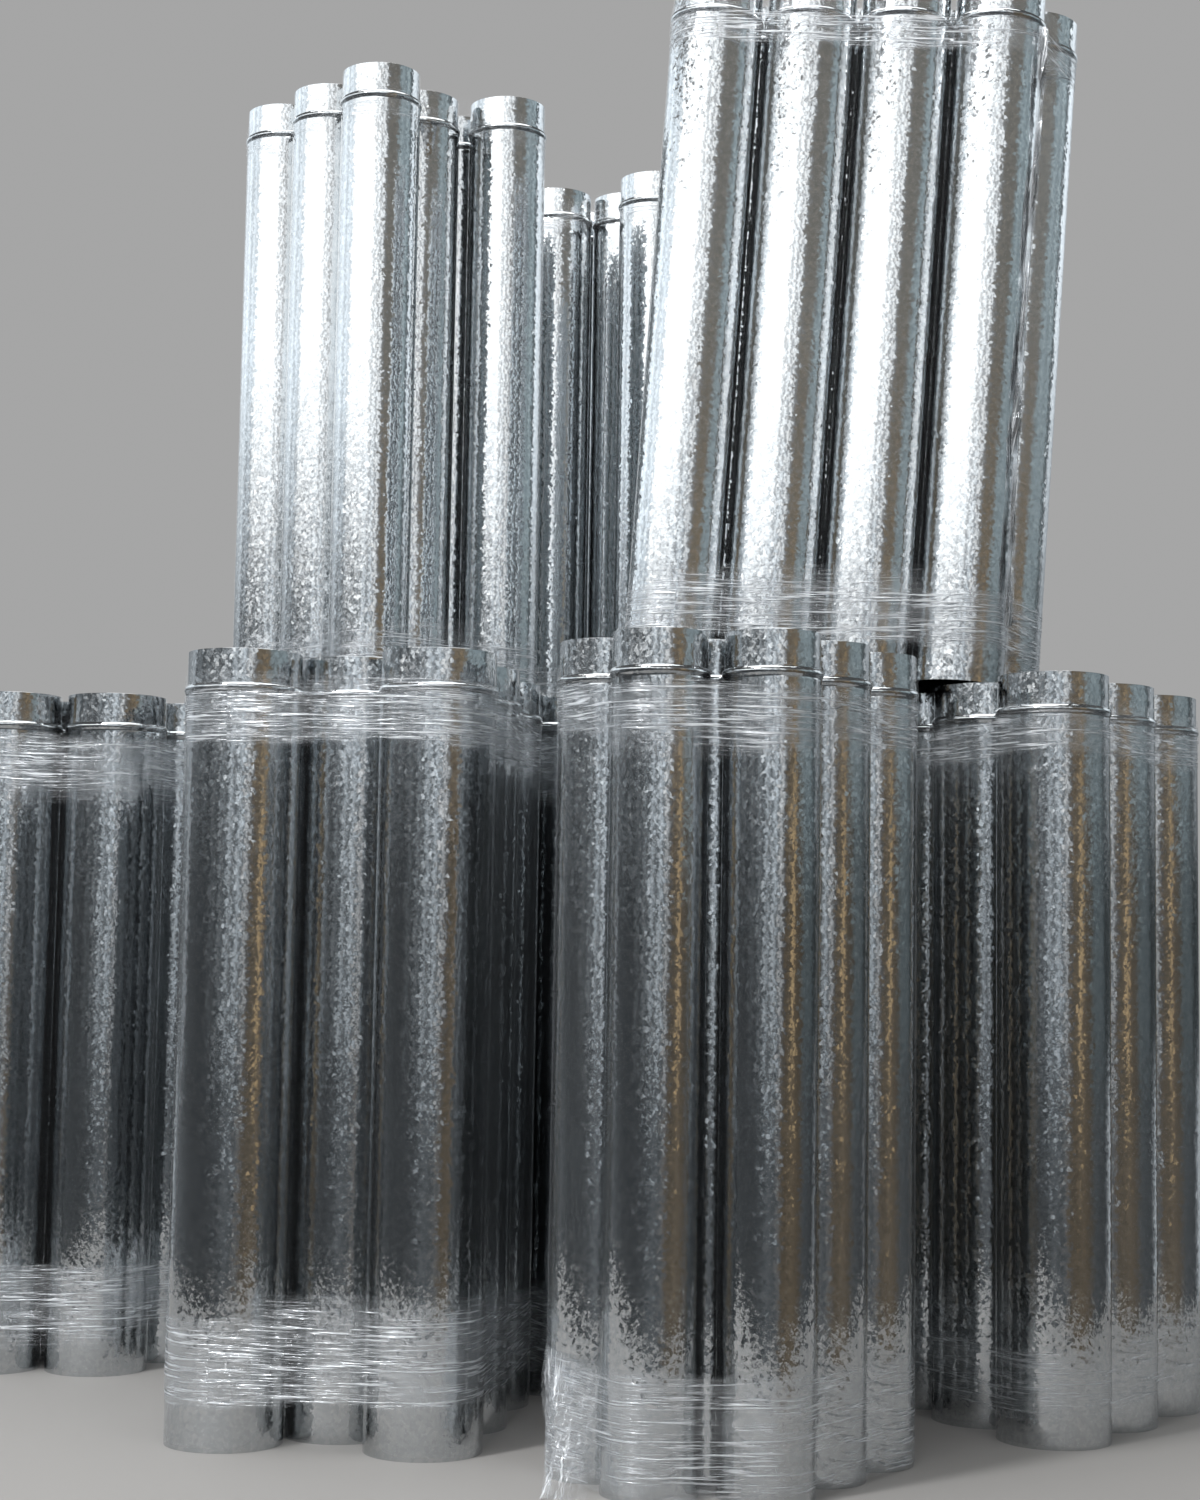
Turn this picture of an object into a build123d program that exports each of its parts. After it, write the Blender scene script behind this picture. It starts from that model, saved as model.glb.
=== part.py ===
from build123d import *

import math
import os

# Galvanised sheet-steel tubes with a beaded spigot end, on end in film-wrapped bundles, two tiers high.
# X runs to the right along the front of the stack, Y away from its front and Z up. Millimetres and degrees.

# The tubes
TUBE_LENGTH = 1200.0
SHEET = 0.6
SPIGOT_LENGTH = 52.0
SPIGOT_REDUCTION = 1.5
BEAD_HEIGHT = 13.0
BEAD_CREST = 5.0
BEAD_PROUD = 2.5
TUBE_GAP = 0.5
SEAM_WIDTH = 8.0
SEAM_PROUD = 1.0
SEAM_END = 3.0
WIDE_DIAMETER = 180.0
LEANING_DIAMETER = 156.0
MIDDLE_DIAMETER = 150.0
NARROW_DIAMETER = 140.0

# The seams face away from the front of the stack, each turned on from the one before within a range
SEAM_FIRST = 35.0
SEAM_TURN = 47.0
SEAM_RANGE = 110.0

# The stretch film round each bundle: one thin sleeve with a heavier band near its top and its bottom
FILM = 0.3
BAND_EXTRA = 0.5
FILM_CLEARANCE = 0.3
FILM_FOOT = 6.0
FILM_OVER_BEAD = 18.0
TOP_BAND_WIDTH = 150.0
BOTTOM_BAND_RISE = 62.0
BOTTOM_BAND_WIDTH = 125.0

# How the bundles stand together
BUNDLE_GAP = 0.4
SEAT_GAP = 0.3
LEFT_TURN = -8.0
LEFT_SPREAD = 1.12
NARROW_AHEAD = 276.0
NARROW_GAP = 131.0
NARROW_TURN = -1.5
NARROW_SPREAD = 1.1
BEHIND_NARROW_SHIFT = -37.0
BEHIND_LEFT_SPREAD = 1.1
END_SPREAD = 1.03
RIGHT_TURN = -5.0
RIGHT_SHIFT = -48.0
BACK_SHIFT = 560.0

# The upper tier, each bundle's middle from the middle of the bundle that carries it
UPPER_LEFT_TURN = 9.0
UPPER_LEFT_SPREAD = 1.1
UPPER_LEFT_SHIFT = (-101.0, 127.0)
UPPER_BACK_TURN = 60.0
UPPER_BACK_SPREAD = 1.25
UPPER_BACK_SHIFT = (-46.0, 177.0)
LEANING_SHIFT = (215.0, -39.0)
LEAN = 3.5

# Twice the area in square millimetres under which three tube centres count as standing in one line
IN_LINE = 1.0


class Bundle:
    """Tubes of one diameter on a lattice, with the first tube of the front row at the bundle's own origin.

    The rows run from front to back. Each says where its first tube stands, in pitches, and its count.
    """

    def __init__(self, diameter, rows, turn=0.0, spread=1.0, lean=0.0):
        self.diameter = diameter
        self.lean = lean
        self.base = 0.0
        pitch = diameter + 2 * BEAD_PROUD + TUBE_GAP
        across = pitch * spread
        back = math.sqrt(pitch**2 - (across / 2) ** 2)
        self.centres = []
        for row, (first, count) in enumerate(rows):
            for place in range(count):
                point = Vector((first + place) * across / math.cos(math.radians(lean)), row * back)
                self.centres.append(point.rotate(Axis.Z, turn))

    def film_radius(self):
        """From the outermost tube centres to the inner face of the film."""
        return self.diameter / 2 + BEAD_PROUD + FILM_CLEARANCE

    def outer_radius(self):
        """From the outermost tube centres to the outer face of the film's bands."""
        return self.film_radius() + FILM + BAND_EXTRA

    def move(self, x, y):
        self.centres = [point + Vector(x, y) for point in self.centres]
        return self

    def first(self, x, y):
        """A place x and y away from the first tube's centre."""
        return self.centres[0].X + x, self.centres[0].Y + y

    def centre(self, x, y):
        """A place x and y away from the mean of all the tubes' centres."""
        middle = sum(self.centres, Vector()) / len(self.centres)
        return middle.X + x, middle.Y + y

    def centre_on(self, x, y):
        middle_x, middle_y = self.centre(0, 0)
        return self.move(x - middle_x, y - middle_y)

    def corners(self):
        """The tube centres at the corners of the bundle's outline, counter-clockwise."""
        points = sorted((round(p.X, 6), round(p.Y, 6)) for p in self.centres)
        chains = []
        for ordered in (points, points[::-1]):
            chain = []
            for point in ordered:
                while len(chain) > 1 and turning(chain[-2], chain[-1], point) < IN_LINE:
                    chain.pop()
                chain.append(point)
            chains.append(chain[:-1])
        return chains[0] + chains[1]


def turning(a, b, c):
    """Positive where the way from a over b to c turns left."""
    return (b[0] - a[0]) * (c[1] - a[1]) - (b[1] - a[1]) * (c[0] - a[0])


def point_to_side(point, a, b):
    """The distance from a point to the straight side from a to b."""
    side = (b[0] - a[0], b[1] - a[1])
    along = (point[0] - a[0]) * side[0] + (point[1] - a[1]) * side[1]
    share = min(1.0, max(0.0, along / (side[0] ** 2 + side[1] ** 2)))
    return math.dist(point, (a[0] + share * side[0], a[1] + share * side[1]))


def inside(point, corners):
    return all(turning(a, b, point) > 0 for a, b in zip(corners, corners[1:] + corners[:1]))


def clearance(one, other):
    """The gap between the outer faces of two bundles' films, below zero where they would overlap."""
    mine, theirs = one.corners(), other.corners()
    reach = one.outer_radius() + other.outer_radius()
    nearest = math.inf
    for points, corners in ((mine, theirs), (theirs, mine)):
        for point in points:
            if inside(point, corners):
                return -reach
            for a, b in zip(corners, corners[1:] + corners[:1]):
                nearest = min(nearest, point_to_side(point, a, b))
    return nearest - reach


def push(bundle, x, y, against, gap=BUNDLE_GAP):
    """Brings a bundle in from afar along x, y, until the first of its neighbours is a gap away."""
    afar, stride, precision = 1500.0, 40.0, 0.001

    def clear(step):
        bundle.move(x * step, y * step)
        free = all(clearance(bundle, other) > gap for other in against)
        bundle.move(-x * step, -y * step)
        return free

    far, near = -afar, stride - afar
    while clear(near) and near < afar:
        far, near = near, near + stride
    while near - far > precision:
        halfway = (far + near) / 2
        if clear(halfway):
            far = halfway
        else:
            near = halfway
    return bundle.move(x * far, y * far)


def tube(diameter):
    """One tube on z = 0, turned from its half section: plain end, rolled bead and reduced spigot end.

    The sheet's lock seam is a flat strip up the outside of the body, towards X.
    """
    body = diameter / 2
    spigot = body - SPIGOT_REDUCTION
    crest = body + BEAD_PROUD
    shoulder = TUBE_LENGTH - SPIGOT_LENGTH
    bead_foot = shoulder - BEAD_HEIGHT
    slope = (BEAD_HEIGHT - BEAD_CREST) / 2
    outer = [
        Vector(body, 0),
        Vector(body, bead_foot),
        Vector(crest, bead_foot + slope),
        Vector(crest, shoulder - slope),
        Vector(spigot, shoulder),
        Vector(spigot, TUBE_LENGTH),
    ]
    inner = [point - Vector(SHEET, 0) for point in outer]
    section = Face(Wire.make_polygon(outer + inner[::-1], close=True))
    corner = (Align.MIN, Align.CENTER, Align.MIN)
    seam = Box(SHEET / 2 + SEAM_PROUD, SEAM_WIDTH, bead_foot - 2 * SEAM_END, align=corner)
    return revolve(Plane.XZ.location * section, Axis.Z) + Pos(body - SHEET / 2, 0, SEAM_END) * seam


def seam_turn(place):
    """Which way the seam of a bundle's tube faces."""
    return SEAM_FIRST + place * SEAM_TURN % SEAM_RANGE


def tubes(bundle):
    """The bundle's tubes. A leaning tube has slid down until its lower rim touches what carries it."""
    tilt = math.radians(bundle.lean)
    rise = bundle.diameter / 2 * math.sin(tilt)
    stand = Pos(rise * math.tan(tilt), 0, bundle.base + rise) * Rotation(0, bundle.lean, 0)
    return [
        tube(bundle.diameter).move(Pos(p.X, p.Y) * stand * Rotation(0, 0, seam_turn(place)))
        for place, p in enumerate(bundle.centres)
    ]


def outline(corners, radius):
    """The tight loop round circles of one radius at the corners: straight sides joined by arcs."""
    sides = []
    for a, b in zip(corners, corners[1:] + corners[:1]):
        length = math.dist(a, b)
        out = Vector(b[1] - a[1], a[0] - b[0]) * (radius / length)
        sides.append((Vector(*a) + out, Vector(*b) + out, out))
    edges = []
    for corner, side, following in zip(corners[1:] + corners[:1], sides, sides[1:] + sides[:1]):
        halfway = (side[2] + following[2]).normalized() * radius
        edges.append(Edge.make_line(side[0], side[1]))
        edges.append(Edge.make_three_point_arc(side[1], Vector(*corner) + halfway, following[0]))
    return Wire(edges)


def ring(bundle, thickness, foot, height):
    """A level band of film of the given thickness round the whole bundle."""
    inner = outline(bundle.corners(), bundle.film_radius())
    outer = outline(bundle.corners(), bundle.film_radius() + thickness)
    tilt = math.radians(bundle.lean)
    along = Vector(math.sin(tilt), 0, math.cos(tilt))
    section = Pos(foot * math.tan(tilt), 0, bundle.base + foot) * Face(outer, [inner])
    return Solid.extrude(section, along * (height / math.cos(tilt)))


def film(bundle):
    """The sleeve of stretch film with its two heavier bands, open at the top and the bottom."""
    height = TUBE_LENGTH - SPIGOT_LENGTH + FILM_OVER_BEAD - FILM_FOOT
    top_foot = FILM_FOOT + height - TOP_BAND_WIDTH
    heavy = FILM + BAND_EXTRA
    sleeve = ring(bundle, FILM, FILM_FOOT, height)
    top_band = ring(bundle, heavy, top_foot, TOP_BAND_WIDTH)
    bottom_band = ring(bundle, heavy, BOTTOM_BAND_RISE, BOTTOM_BAND_WIDTH)
    return sleeve + top_band + bottom_band


def floor_tier():
    """Four bundles along the front, and three behind them that fill the stack and carry its upper tier."""
    rows_of_ten = [(0, 2), (-0.5, 3), (0, 3), (0.5, 2)]
    left = Bundle(WIDE_DIAMETER, [(0, 3), (0.5, 2), (0, 3)], turn=LEFT_TURN + 90, spread=LEFT_SPREAD)
    narrow = Bundle(NARROW_DIAMETER, rows_of_ten, turn=NARROW_TURN, spread=NARROW_SPREAD)
    narrow.move(*left.first(0, -NARROW_AHEAD))
    push(narrow, -1, 0, [left], gap=NARROW_GAP)

    behind_narrow = Bundle(WIDE_DIAMETER, [(0, 2), (-0.5, 3), (-1, 3), (-0.5, 2)])
    behind_narrow.centre_on(*narrow.centre(BEHIND_NARROW_SHIFT, 0))
    push(behind_narrow, 0, -1, [narrow])

    behind_left = Bundle(WIDE_DIAMETER, rows_of_ten, turn=LEFT_TURN, spread=BEHIND_LEFT_SPREAD)
    behind_left.centre_on(*left.centre(0, 0))
    push(behind_left, 0, -1, [left])
    along = math.radians(LEFT_TURN)
    push(behind_left, math.cos(along), math.sin(along), [behind_narrow])

    end = Bundle(WIDE_DIAMETER, [(0, 2), (-0.5, 3), (0, 2)], spread=END_SPREAD)
    end.centre_on(*behind_left.centre(0, 0))
    push(end, 1, 0, [behind_left, left])

    right = Bundle(WIDE_DIAMETER, [(0, 1), (-0.5, 2), (-1, 3), (-0.5, 2)], turn=RIGHT_TURN)
    right.centre_on(*behind_narrow.centre(0, RIGHT_SHIFT))
    push(right, -1, 0, [narrow, behind_narrow])

    back = Bundle(WIDE_DIAMETER, rows_of_ten)
    back.centre_on(*behind_left.centre(0, BACK_SHIFT))
    push(back, -1, 0, [behind_left, behind_narrow])
    return {
        "left": left,
        "narrow": narrow,
        "right": right,
        "end": end,
        "behind_left": behind_left,
        "behind_narrow": behind_narrow,
        "back": back,
    }


def upper_tier(floor):
    """Three bundles seated on the rims of the floor tier, one of them leaning to the right."""
    rows_of_nine = [(0, 1), (-0.5, 3), (-1, 3), (-0.5, 2)]
    upper_left = Bundle(MIDDLE_DIAMETER, rows_of_nine, turn=UPPER_LEFT_TURN, spread=UPPER_LEFT_SPREAD)
    upper_left.centre_on(*floor["behind_left"].centre(*UPPER_LEFT_SHIFT))

    rows_of_eight = [(0, 3), (0.5, 2), (0, 3)]
    upper_back = Bundle(MIDDLE_DIAMETER, rows_of_eight, turn=UPPER_BACK_TURN, spread=UPPER_BACK_SPREAD)
    upper_back.centre_on(*floor["back"].centre(*UPPER_BACK_SHIFT))

    leaning = Bundle(LEANING_DIAMETER, [(0, 4), (0.5, 4), (1, 2)], lean=LEAN)
    leaning.centre_on(*floor["behind_narrow"].centre(*LEANING_SHIFT))
    upper = {"upper_left": upper_left, "upper_back": upper_back, "upper_leaning": leaning}
    for bundle in upper.values():
        bundle.base = TUBE_LENGTH + SEAT_GAP
    return upper


def centred(bundles):
    """Moves the bundles so that the middle of the ground they cover is the origin."""
    reach = [(p.X, p.Y, bundle.outer_radius()) for bundle in bundles for p in bundle.centres]
    low_x, high_x = min(x - r for x, y, r in reach), max(x + r for x, y, r in reach)
    low_y, high_y = min(y - r for x, y, r in reach), max(y + r for x, y, r in reach)
    for bundle in bundles:
        bundle.move(-(low_x + high_x) / 2, -(low_y + high_y) / 2)


floor = floor_tier()
bundles = {**floor, **upper_tier(floor)}
centred(bundles.values())

os.makedirs("parts", exist_ok=True)
for name, bundle in bundles.items():
    export_step(Compound(children=tubes(bundle)), f"parts/{name}_tubes.step")
    export_step(film(bundle), f"parts/{name}_film.step")
    print(name, len(bundle.centres), "tubes of", bundle.diameter)
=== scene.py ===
import math

import bmesh
import bpy
import numpy as np
from mathutils import Matrix, Vector


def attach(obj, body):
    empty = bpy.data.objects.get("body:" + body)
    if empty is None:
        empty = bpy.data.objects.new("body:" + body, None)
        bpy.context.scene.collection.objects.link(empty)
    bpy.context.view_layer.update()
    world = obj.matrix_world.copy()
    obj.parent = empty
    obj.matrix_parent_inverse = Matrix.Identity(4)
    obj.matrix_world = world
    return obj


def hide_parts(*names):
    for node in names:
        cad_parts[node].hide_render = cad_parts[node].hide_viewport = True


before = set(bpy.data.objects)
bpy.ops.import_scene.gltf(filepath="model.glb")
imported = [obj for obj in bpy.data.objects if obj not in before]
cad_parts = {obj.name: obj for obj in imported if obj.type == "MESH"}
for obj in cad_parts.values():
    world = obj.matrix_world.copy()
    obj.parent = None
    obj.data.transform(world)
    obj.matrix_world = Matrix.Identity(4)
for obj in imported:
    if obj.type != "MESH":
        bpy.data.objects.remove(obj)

# Film-wrapped bundles of galvanised sheet-steel tubes, two tiers high.
# Lengths are in metres, and angles in degrees where a name says so.
BUNDLES = [
    "left", "narrow", "right", "end", "behind_left", "behind_narrow", "back",
    "upper_left", "upper_back", "upper_leaning",
]
HIDDEN = ("behind_left", "behind_narrow", "back")
MM = 0.001
SEED = 41

# The camera of the photograph
CAMERA_FROM_TUBE = (0.249, -3.74, 0.72)
LENS_MM = 58.75
PITCH_DEG = 5.14
ROLL_DEG = 0.9

# The tubes, as the CAD model has them
SHEET = 0.6 * MM
SPIGOT_LENGTH = 52 * MM
SPIGOT_REDUCTION = 1.5 * MM
BEAD_HEIGHT = 13 * MM
BEAD_PROUD = 2.5 * MM
SEAM_WIDTH = 8 * MM
SEAM_PROUD = 1 * MM
SEAM_END = 3 * MM

# With what tolerances a tube's place is read from the CAD mesh
WELD = 0.02 * MM
NEAR_END = 1 * MM

# How finely a tube is divided, and how round its bead and rims are
SEGMENTS = 56
BODY_RINGS = 15
BEAD_STEPS = 9
BEAD_FULLNESS = 0.7
RIM_ROUND = 0.25 * MM
SEAM_STEP = 0.2 * MM
SHARP_DEG = 30
# Points across the seam in halves of its width, the others' distance from it, and how far it counts as seam
SEAM_POINTS = (-1.05, -1.0, 0.0, 1.0, 1.05)
SEAM_CLEAR = 1.3
SEAM_COUNTS = 1.02

# A tube's ovality and waves: the waves round it by number and share, those up it by length and share,
# and the share of both at the spigot's rim
OVAL = 0.7 * MM
OVAL_SHARES = (0.3, 1.0)
WAVE = 0.12 * MM
WAVES_ROUND = [(3, 0.6), (5, 0.4), (7, 0.3)]
WAVES_UP = [(0.9, 0.5), (0.37, 0.3), (0.21, 0.25)]
RIM_WAVE = 0.6

# The stretch film
FILM_FOOT = 6 * MM
FILM_OVER_BEAD = 18 * MM
CLING = 0.5 * MM
OVER_BEAD_CLEARANCE = 0.1 * MM
FILM_BLEND = 22 * MM
STEP_ALONG = 12 * MM
STEP_UP = 3.2 * MM
STEP_PLAIN = 40 * MM
HIDDEN_STEP_ALONG = 1.8
HIDDEN_STEP_UP = 2
# Its bands' soft edges, slant and ragged edges, and the waves of those by number round the bundle and depth
BAND_EDGE = 7 * MM
SLANT = 9 * MM
SLANT_ANGLES = (-0.5, 0.5)
SLANT_PHASES = (0, 6)
RAGS = [(2, 5 * MM), (7, 3 * MM), (23, 2 * MM)]
UPPER_RAG_SHARE = 0.6
# The creases of the bands: their depth, the waves that make them drift,
# and for each size of crease its spacing, drift and share
WRINKLE = 1.1 * MM
CALM_AT_BEAD = 0.7
DRIFT_LENGTHS = (0.9, 0.41, 0.17)
FINE_CREASE = (9 * MM, 1.9, 0.32)
COARSE_CREASE = (23 * MM, -1.3, 0.3)
# Each bundle's bands: in mm the depth of the top one and where the bottom one starts and ends,
# and then how white the top and the bottom one are
BANDS = {
    "left": (118, 62, 186, 1.0, 1.0),
    "narrow": (108, 8, 168, 1.0, 0.75),
    "right": (96, 39, 140, 0.8, 0.5),
    "end": (120, 76, 190, 0.9, 0.8),
    "behind_left": (118, 60, 180, 0.8, 0.8),
    "behind_narrow": (118, 60, 180, 0.8, 0.8),
    "back": (118, 60, 180, 0.8, 0.8),
    "upper_left": (70, 20, 120, 0.35, 0.8),
    "upper_back": (70, 30, 120, 0.5, 0.6),
    "upper_leaning": (92, 50, 142, 0.9, 1.0),
}

# The loosened flap of a bundle's film: the way the bundle faces where it starts in degrees, then in mm its
# width, its top, its foot, how far its foot is drawn round and stands out, and last the share of its width
# that is gathered at the foot
FLAPS = {
    "narrow": (188, 165, 186, 2, 105, 62, 0.5),
    "left": (158, 110, 205, 8, -20, 40, 0.2),
}
FLAP_COLUMNS = 56
FLAP_ROWS = 60
FLAP_FOLD = 12 * MM
FLAP_CRUMPLE = 2.2 * MM
FLAP_CRUMPLE_IN = 3
FLAP_DRAW_POWER = 1.4
FLAP_FLARE_POWER = 1.6
FLAP_SIDE_FLARE = 0.45
FLAP_TOP_SLOPE = 0.12
# The waves that cross a flap: how many times each does so sideways and downward, and its phase
FLAP_BROAD_FOLD = (2.6, 0.9, 0.1)
FLAP_FINE_FOLD = (6.3, -1.7, 0.0)
FLAP_FINE_SHARE = 0.5
FLAP_CRUMPLES = ((9.1, 5.3, 0.0), (4.7, -8.9, 0.3))
# Its painted highlight, a whiter line slanting down the flap where its fold catches the light: how white the
# flap is beside it, where the line starts, its slant and how fast it falls off
FLAP_WHITE_LEAST = 0.35
PAINTED_HIGHLIGHT_START = 0.25
PAINTED_HIGHLIGHT_SLANT = 0.35
PAINTED_HIGHLIGHT_FALL = 3.2
# The gathered end of a bundle's film: the way the bundle faces there in degrees, then in mm the flat width,
# top and foot, and last the number of twists
TAILS = {"upper_leaning": (-42, 110, 1120, 95, 2.6)}
TAIL_FOLDS = 10
TAIL_ROWS = 150
TAIL_PLY = 1.1 * MM
TAIL_SWAY = 4 * MM
TAIL_OFF = 6 * MM
TAIL_WHITE = 0.7
TAIL_SWAYS_ROUND = 1.2
TAIL_SWAYS_OUT = 0.9
TAIL_WOBBLE, TAIL_WOBBLE_TURNS = 0.6, 9
TAIL_SWELL, TAIL_SWELLS = 0.35, 3.3

# The zinc's spangles: their sizes, how far their edges stray and how far they tilt
SPANGLE = 5.6 * MM
SPANGLE_SMALL = 2.6 * MM
SPANGLE_STRAY = 7 * MM
STRAY_PER_METRE = 170.0
SPANGLE_TILT = 0.17
TILT_UP_SHARE = 0.38
TILT_LEAST, TILT_MORE, TILT_SMALL = 0.35, 0.9, 0.2
# The zinc's tones and roughness, and the dust on it, which dulls it
ZINC_TONES = [(0.0, (0.54, 0.57, 0.59)), (0.5, (0.58, 0.61, 0.63)), (1.0, (0.65, 0.67, 0.68))]
ROUGH = 0.05
ROUGH_SPREAD = 0.06
ROUGH_DUST = 0.04
DUST_PER_METRE = 3.5
DUST_TONE = 0.88
DUST_WARMTH = 0.01
CLOUD_FROM, CLOUD_TO = 0.3, 0.7

# How much the film shows: where it is clear, at its edges, over a whole band, and in a band's creases
CLEAR_SHOW = 0.012
EDGE_SHOW = 0.35
EDGE_BLEND = 0.18
BAND_SHOW = 0.14
CREASE_SHOW = 0.85
# Its white creases: how many there are in a metre along and up, the patches in which they come,
# and how they wander
CREASES_PER_METRE = (13.0, 300.0, 1.0)
CREASE_FROM, CREASE_TO = 0.5, 0.62
PATCHES_PER_METRE = (5.0, 60.0, 1.0)
PATCH_FROM, PATCH_TO = 0.34, 0.56
WANDER = 14 * MM
WANDER_PER_METRE = 3.5
CREASE_BUMP = 5 * MM
CREASE_BUMP_STRENGTH = 0.9
FILM_COLOUR = (0.88, 0.92, 0.96, 1)
FILM_ROUGHNESS = 0.18
FILM_METALLIC = 0.3

# The stage
FLOOR_TONE = 0.34
FLOOR_WARMTH = 0.03
FLOOR_ROUGHNESS = 0.75
FLOOR_CLOUD_TONE = 0.97
FLOOR_CLOUDS_PER_METRE = 1.3
FLOOR_REACH = 2.4
BACKDROP = 0.38
OVERHEAD = 0.1
OVERHEAD_FROM_DEG = 25.0
OVERHEAD_FULL_DEG = 30.0
ROUND_SIDES = 96

# The light cards round the stage: the degrees to the right of straight in front of the stack,
# the light and its tint
CARD_REACH = 20.0
CARD_LOWEST_DEG = -24.0
CARD_HIGHEST_DEG = 30.0
PLAIN = (0.99, 1.0, 1.01)
COOL = (0.93, 1.0, 1.06)
CYAN = (0.84, 1.0, 1.06)
WARM = (1.06, 1.0, 0.9)
BROWN = (1.25, 1.0, 0.72)
GOLD = (1.4, 1.0, 0.56)
GROUND_CARDS = [
    (-180, 0.5, PLAIN), (-168, 0.3, PLAIN), (-160, 0.6, COOL), (-150, 0.25, COOL), (-140, 0.6, COOL),
    (-128, 0.25, COOL), (-114, 0.12, COOL), (-76, 0.06, COOL), (-40, 0.055, COOL), (-16, 0.08, COOL),
    (-6, 0.13, COOL), (6, 0.09, COOL), (16, 0.15, PLAIN), (26, 0.09, BROWN), (50, 0.12, BROWN),
    (64, 0.09, BROWN), (80, 0.09, COOL), (112, 0.06, COOL), (126, 0.25, COOL), (138, 0.6, COOL),
    (148, 0.25, COOL), (160, 0.6, COOL), (170, 0.3, PLAIN), (180, 0.5, PLAIN),
]
LOW_CARDS = [
    (-180, 0.6, PLAIN), (-164, 0.6, PLAIN), (-150, 0.12, COOL), (-122, 0.16, COOL), (-112, 0.4, COOL),
    (-102, 0.07, COOL), (-74, 0.05, COOL), (-56, 0.05, COOL), (-46, 0.12, COOL), (-38, 0.05, COOL),
    (-30, 0.22, COOL), (-24, 0.06, COOL), (-15, 0.5, COOL), (-7, 0.1, COOL), (2, 0.62, COOL),
    (10, 0.12, COOL), (17, 0.55, PLAIN), (24, 0.1, PLAIN), (32, 0.1, BROWN), (42, 0.12, BROWN),
    (45, 0.4, GOLD), (49, 0.4, GOLD), (53, 0.1, BROWN), (66, 0.08, BROWN), (78, 0.13, CYAN),
    (104, 0.12, CYAN), (114, 0.04, CYAN), (150, 0.06, CYAN), (166, 0.6, PLAIN), (180, 0.6, PLAIN),
]
MIDDLE_CARDS = [
    (-180, 0.6, PLAIN), (-164, 0.6, PLAIN), (-150, 0.3, COOL), (-128, 0.4, COOL), (-114, 0.6, COOL),
    (-104, 0.12, COOL), (-92, 0.3, COOL), (-80, 0.1, COOL), (-70, 0.28, COOL), (-60, 0.1, COOL),
    (-50, 0.28, COOL), (-41, 0.1, COOL), (-32, 0.45, COOL), (-24, 0.12, COOL), (-14, 1.0, COOL),
    (-6, 0.2, COOL), (3, 1.2, COOL), (11, 0.3, COOL), (18, 1.2, PLAIN), (25, 0.3, PLAIN),
    (32, 0.2, BROWN), (52, 0.2, BROWN), (60, 0.4, CYAN), (95, 0.4, CYAN), (106, 0.1, CYAN),
    (125, 0.6, COOL), (150, 0.3, COOL), (166, 0.6, PLAIN), (180, 0.6, PLAIN),
]
HIGH_CARDS = [
    (-180, 0.6, PLAIN), (-164, 0.6, PLAIN), (-150, 0.8, COOL), (-136, 1.6, COOL), (-124, 1.3, COOL),
    (-112, 1.9, COOL), (-100, 1.0, COOL), (-90, 1.8, COOL), (-82, 1.1, COOL), (-72, 2.2, PLAIN),
    (-10, 2.2, PLAIN), (-4, 0.8, PLAIN), (3, 2.2, PLAIN), (10, 0.5, PLAIN), (17, 1.8, PLAIN),
    (23, 0.35, PLAIN), (30, 0.24, WARM), (58, 0.25, WARM), (66, 0.4, CYAN), (74, 0.6, CYAN),
    (84, 0.35, CYAN), (94, 0.7, CYAN), (102, 0.3, CYAN), (108, 0.08, CYAN), (117, 1.6, COOL),
    (136, 1.2, COOL), (150, 0.5, COOL), (166, 0.6, PLAIN), (180, 0.6, PLAIN),
]
# The heights in degrees between which each row of cards gives way to the next
TO_LOW = (-1.5, 0.5)
TO_MIDDLE = (4.5, 10.5)
TO_HIGH = (11.0, 18.7)

# The lamps
TOP_LIGHT_PLACE = (0.0, 0.0, 6.0)
TOP_LIGHT_AIM = (0.0, 0.0, 0.0)
TOP_LIGHT_SIZE = (5.0, 5.0)
TOP_LIGHT_WATTS = 200
KEY_LIGHT_PLACE = (-3.2, -4.2, 5.8)
KEY_LIGHT_AIM = (0.0, 0.0, 0.9)
KEY_LIGHT_RADIUS = 0.4
KEY_LIGHT_CONE_DEG = 56.0
KEY_LIGHT_SOFTNESS = 0.8
KEY_LIGHT_WATTS = 1080
SOFT_BOX_PLACE = (-0.4, -2.0, 3.6)
SOFT_BOX_AIM = (-0.4, -2.0, 0.0)
SOFT_BOX_SIZE = (2.6, 0.5)
SOFT_BOX_WATTS = 22

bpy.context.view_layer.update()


def smooth(edge0, edge1, x):
    """A soft step from 0 at edge0 to 1 at edge1."""
    t = np.clip((x - edge0) / (edge1 - edge0), 0, 1)
    return t * t * (3 - 2 * t)


def waves(rng, x, parts):
    """A sum of sines along x, each with its wave length, its height and a phase of its own."""
    total = np.zeros_like(np.asarray(x, float))
    for length, amplitude in parts:
        total += amplitude * np.sin(2 * np.pi * (x / length + rng.random()))
    return total


def tube_places(node):
    """Each tube of a CAD node as its foot, its axis, its length, its body radius and where its seam is."""
    mesh = bmesh.new()
    mesh.from_mesh(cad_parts[node].data)
    bmesh.ops.remove_doubles(mesh, verts=mesh.verts, dist=WELD)
    places = []
    seen = set()
    for start in mesh.verts:
        if start in seen:
            continue
        seen.add(start)
        island, todo = [], [start]
        while todo:
            vertex = todo.pop()
            island.append(vertex.co[:])
            for edge in vertex.link_edges:
                other = edge.other_vert(vertex)
                if other not in seen:
                    seen.add(other)
                    todo.append(other)
        places.append(tube_place(np.array(island)))
    mesh.free()
    return sorted(places, key=lambda place: (round(place[0][1], 4), round(place[0][0], 4)))


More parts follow.
